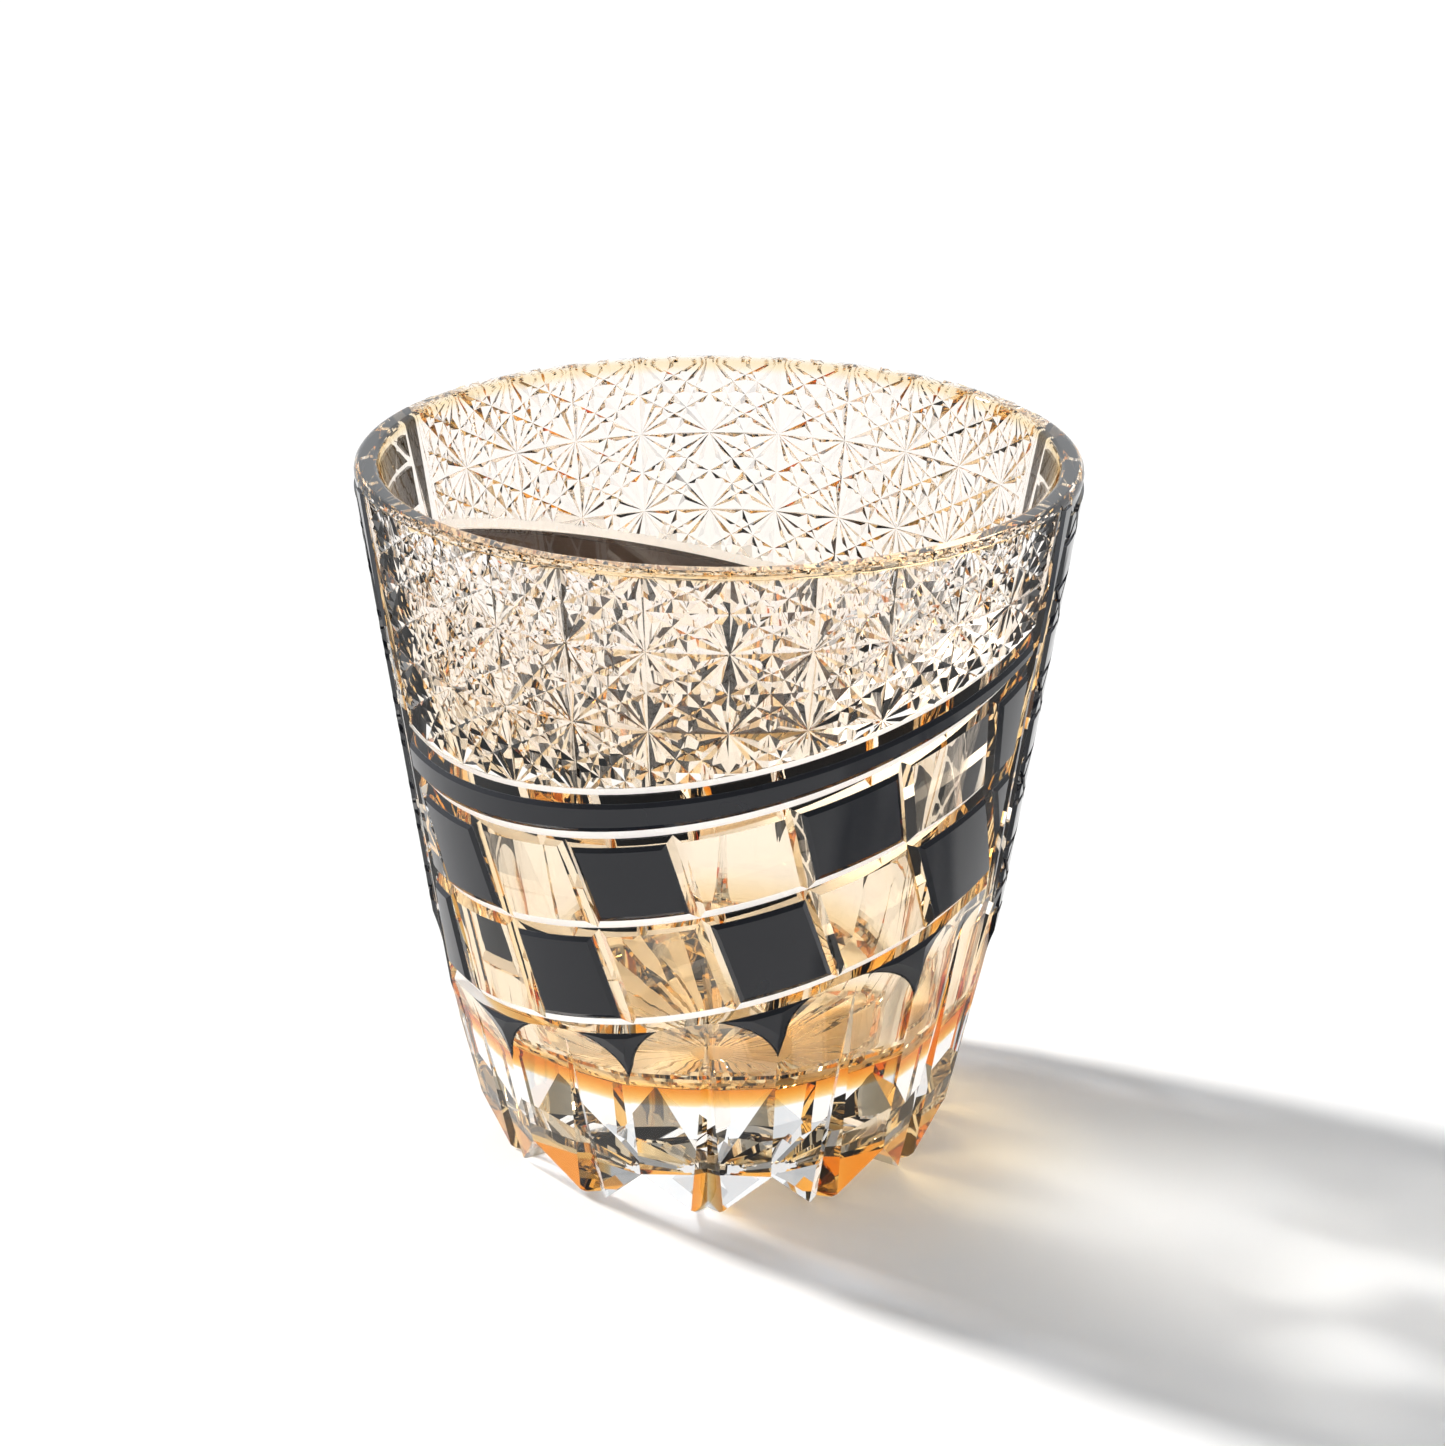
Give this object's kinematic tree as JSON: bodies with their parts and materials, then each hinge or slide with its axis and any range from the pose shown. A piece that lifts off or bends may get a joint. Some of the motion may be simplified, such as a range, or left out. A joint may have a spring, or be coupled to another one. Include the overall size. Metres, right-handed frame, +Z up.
{
  "type": "whiskey tumbler",
  "caption": "Tapered cut-crystal tumbler with an amber lining, black overlay ribbons, checker tiles and side lattices, and a scalloped petal foot.",
  "frame": {"origin": "on the axis at the foot plane, centre of the base", "axes": "+Z up along the tumbler's axis, -Y toward the front, where the ribbon rises from left to right"},
  "size_m": [0.0902, 0.0894, 0.0905],
  "materials": {
    "clear_crystal": "polished clear crystal",
    "amber_glass": "polished transparent amber",
    "black_overlay": "gloss opaque black"
  },
  "bodies": {
    "root": {"crystal_body": "clear_crystal", "amber_lining": "amber_glass", "back_cusp_1": "black_overlay", "back_cusp_2": "black_overlay", "back_cusp_3": "black_overlay", "back_cusp_4": "black_overlay", "back_lower_tile_1": "black_overlay", "back_lower_tile_2": "black_overlay", "back_lower_tile_3": "black_overlay", "back_lower_tile_4": "black_overlay", "back_lower_tile_5": "black_overlay", "back_ribbon": "black_overlay", "back_upper_tile_1": "black_overlay", "back_upper_tile_2": "black_overlay", "back_upper_tile_3": "black_overlay", "back_upper_tile_4": "black_overlay", "front_cusp_1": "black_overlay", "front_cusp_2": "black_overlay", "front_cusp_3": "black_overlay", "front_cusp_4": "black_overlay", "front_lower_tile_1": "black_overlay", "front_lower_tile_2": "black_overlay", "front_lower_tile_3": "black_overlay", "front_lower_tile_4": "black_overlay", "front_lower_tile_5": "black_overlay", "front_ribbon": "black_overlay", "front_upper_tile_1": "black_overlay", "front_upper_tile_2": "black_overlay", "front_upper_tile_3": "black_overlay", "front_upper_tile_4": "black_overlay", "left_back_cusp": "black_overlay", "left_back_strip": "black_overlay", "left_front_cusp": "black_overlay", "left_front_strip": "black_overlay", "left_lattice": "black_overlay", "right_back_cusp": "black_overlay", "right_back_strip": "black_overlay", "right_front_cusp": "black_overlay", "right_front_strip": "black_overlay", "right_lattice": "black_overlay"}
  },
  "joints": []
}
